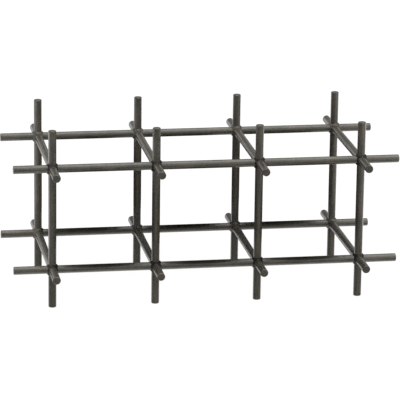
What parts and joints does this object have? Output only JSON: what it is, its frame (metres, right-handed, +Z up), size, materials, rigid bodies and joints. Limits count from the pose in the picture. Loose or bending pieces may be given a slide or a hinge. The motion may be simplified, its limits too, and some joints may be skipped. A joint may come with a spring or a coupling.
{
  "type": "wine rack",
  "caption": "Table-top wine rack of welded round steel rods crossing in an open grid, with bays for bottles lying front to back.",
  "frame": {"origin": "on the table, under the middle of the rack", "axes": "+X along the rack from its left end to its right one as seen from the front, +Y from the front row to the back row, +Z up"},
  "size_m": [0.381, 0.2032, 0.1778],
  "materials": {
    "rod_coat": "satin graphite-brown powder coat on drawn steel rod",
    "weld_coat": "the same coat over small fillet welds, a little darker and duller"
  },
  "bodies": {
    "root": {"front_upright_1": "rod_coat", "front_upright_2": "rod_coat", "front_upright_3": "rod_coat", "front_upright_4": "rod_coat", "back_upright_1": "rod_coat", "back_upright_2": "rod_coat", "back_upright_3": "rod_coat", "back_upright_4": "rod_coat", "front_lower_rail_span_1": "rod_coat", "front_lower_rail_span_2": "rod_coat", "front_lower_rail_span_3": "rod_coat", "front_lower_rail_left_end": "rod_coat", "front_lower_rail_right_end": "rod_coat", "front_upper_rail_span_1": "rod_coat", "front_upper_rail_span_2": "rod_coat", "front_upper_rail_span_3": "rod_coat", "front_upper_rail_left_end": "rod_coat", "front_upper_rail_right_end": "rod_coat", "back_lower_rail_span_1": "rod_coat", "back_lower_rail_span_2": "rod_coat", "back_lower_rail_span_3": "rod_coat", "back_lower_rail_left_end": "rod_coat", "back_lower_rail_right_end": "rod_coat", "back_upper_rail_span_1": "rod_coat", "back_upper_rail_span_2": "rod_coat", "back_upper_rail_span_3": "rod_coat", "back_upper_rail_left_end": "rod_coat", "back_upper_rail_right_end": "rod_coat", "lower_cross_rod_1_span": "rod_coat", "lower_cross_rod_1_front_end": "rod_coat", "lower_cross_rod_1_back_end": "rod_coat", "lower_cross_rod_2_span": "rod_coat", "lower_cross_rod_2_front_end": "rod_coat", "lower_cross_rod_2_back_end": "rod_coat", "lower_cross_rod_3_span": "rod_coat", "lower_cross_rod_3_front_end": "rod_coat", "lower_cross_rod_3_back_end": "rod_coat", "lower_cross_rod_4_span": "rod_coat", "lower_cross_rod_4_front_end": "rod_coat", "lower_cross_rod_4_back_end": "rod_coat", "upper_cross_rod_1_span": "rod_coat", "upper_cross_rod_1_front_end": "rod_coat", "upper_cross_rod_1_back_end": "rod_coat", "upper_cross_rod_2_span": "rod_coat", "upper_cross_rod_2_front_end": "rod_coat", "upper_cross_rod_2_back_end": "rod_coat", "upper_cross_rod_3_span": "rod_coat", "upper_cross_rod_3_front_end": "rod_coat", "upper_cross_rod_3_back_end": "rod_coat", "upper_cross_rod_4_span": "rod_coat", "upper_cross_rod_4_front_end": "rod_coat", "upper_cross_rod_4_back_end": "rod_coat", "front_welds_1": "weld_coat", "front_welds_2": "weld_coat", "front_welds_3": "weld_coat", "front_welds_4": "weld_coat", "back_welds_1": "weld_coat", "back_welds_2": "weld_coat", "back_welds_3": "weld_coat", "back_welds_4": "weld_coat"}
  },
  "joints": []
}
